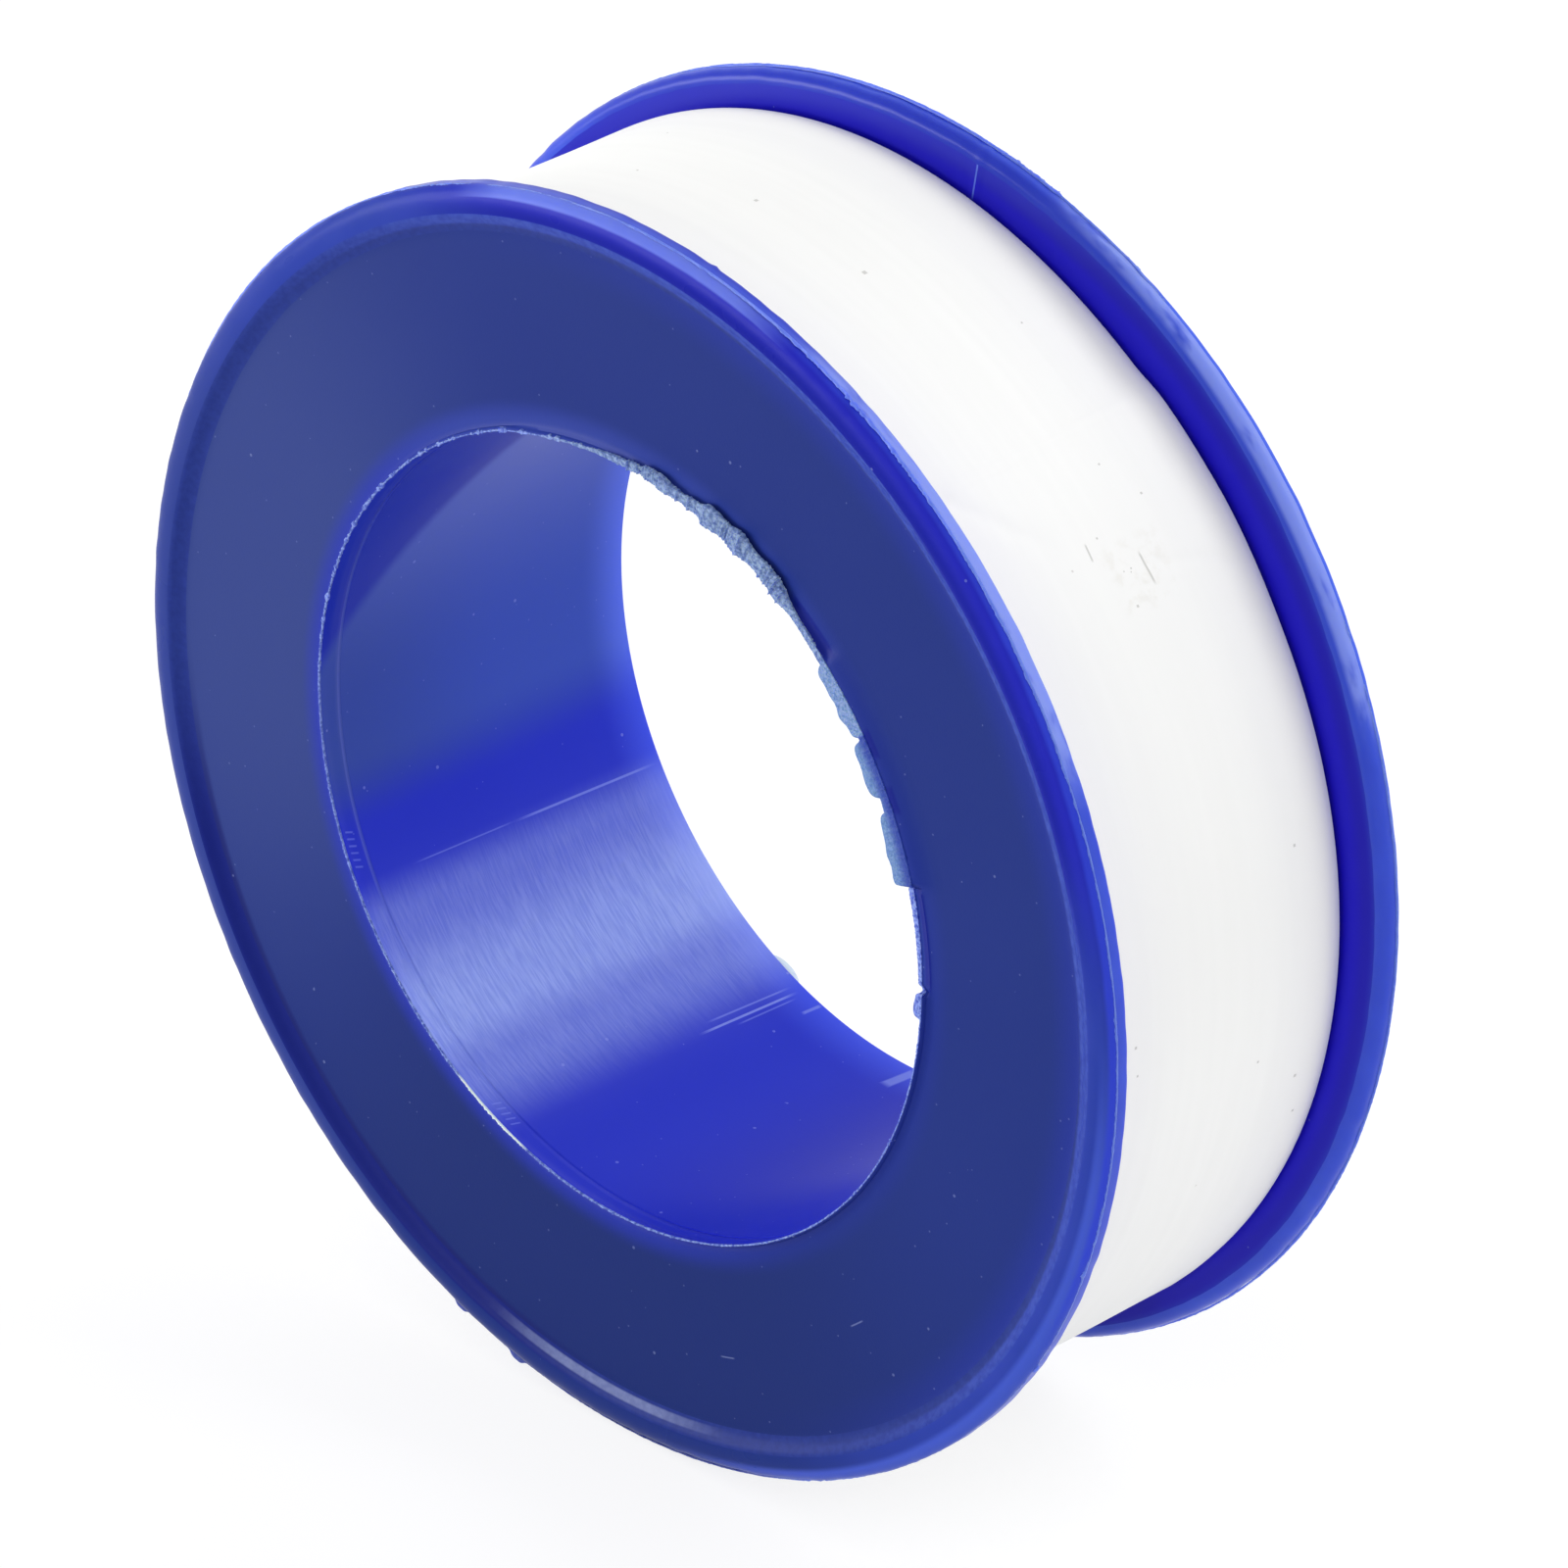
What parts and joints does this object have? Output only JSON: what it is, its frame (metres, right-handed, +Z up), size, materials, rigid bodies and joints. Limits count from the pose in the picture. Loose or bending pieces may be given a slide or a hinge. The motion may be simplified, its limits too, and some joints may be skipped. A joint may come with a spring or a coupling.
{
  "type": "thread seal tape roll",
  "caption": "Flanged plastic spool with a large plain bore, wound with white thread seal film whose free end lifts and pays out round the roll.",
  "frame": {"origin": "on the bore's axis, half way between the two rims", "axes": "+Z up as the roll stands on its rims, Y along the spool's axis with the front flange towards -Y"},
  "size_m": [0.07, 0.0221, 0.07],
  "materials": {
    "spool_plastic": "satin moulded polyolefin, deep blue and slightly translucent at thin edges",
    "tape_film": "soft satin unsintered film, white"
  },
  "bodies": {
    "spool": {"spool": "spool_plastic", "tape_core": "tape_film"},
    "outer_turn": {"outer_turn": "tape_film"},
    "tape_end": {"tape_end": "tape_film"}
  },
  "joints": [
    {"name": "pay_out", "type": "hinge", "parent": "spool", "child": "outer_turn", "pos_m": [0, 0, 0], "axis": [0, -1, 0], "continuous": true},
    {"name": "end_lift", "type": "hinge", "parent": "outer_turn", "child": "tape_end", "pos_m": [0.02744, 0, -0.01851], "axis": [0, -1, 0], "range_deg": [0, 75]}
  ]
}
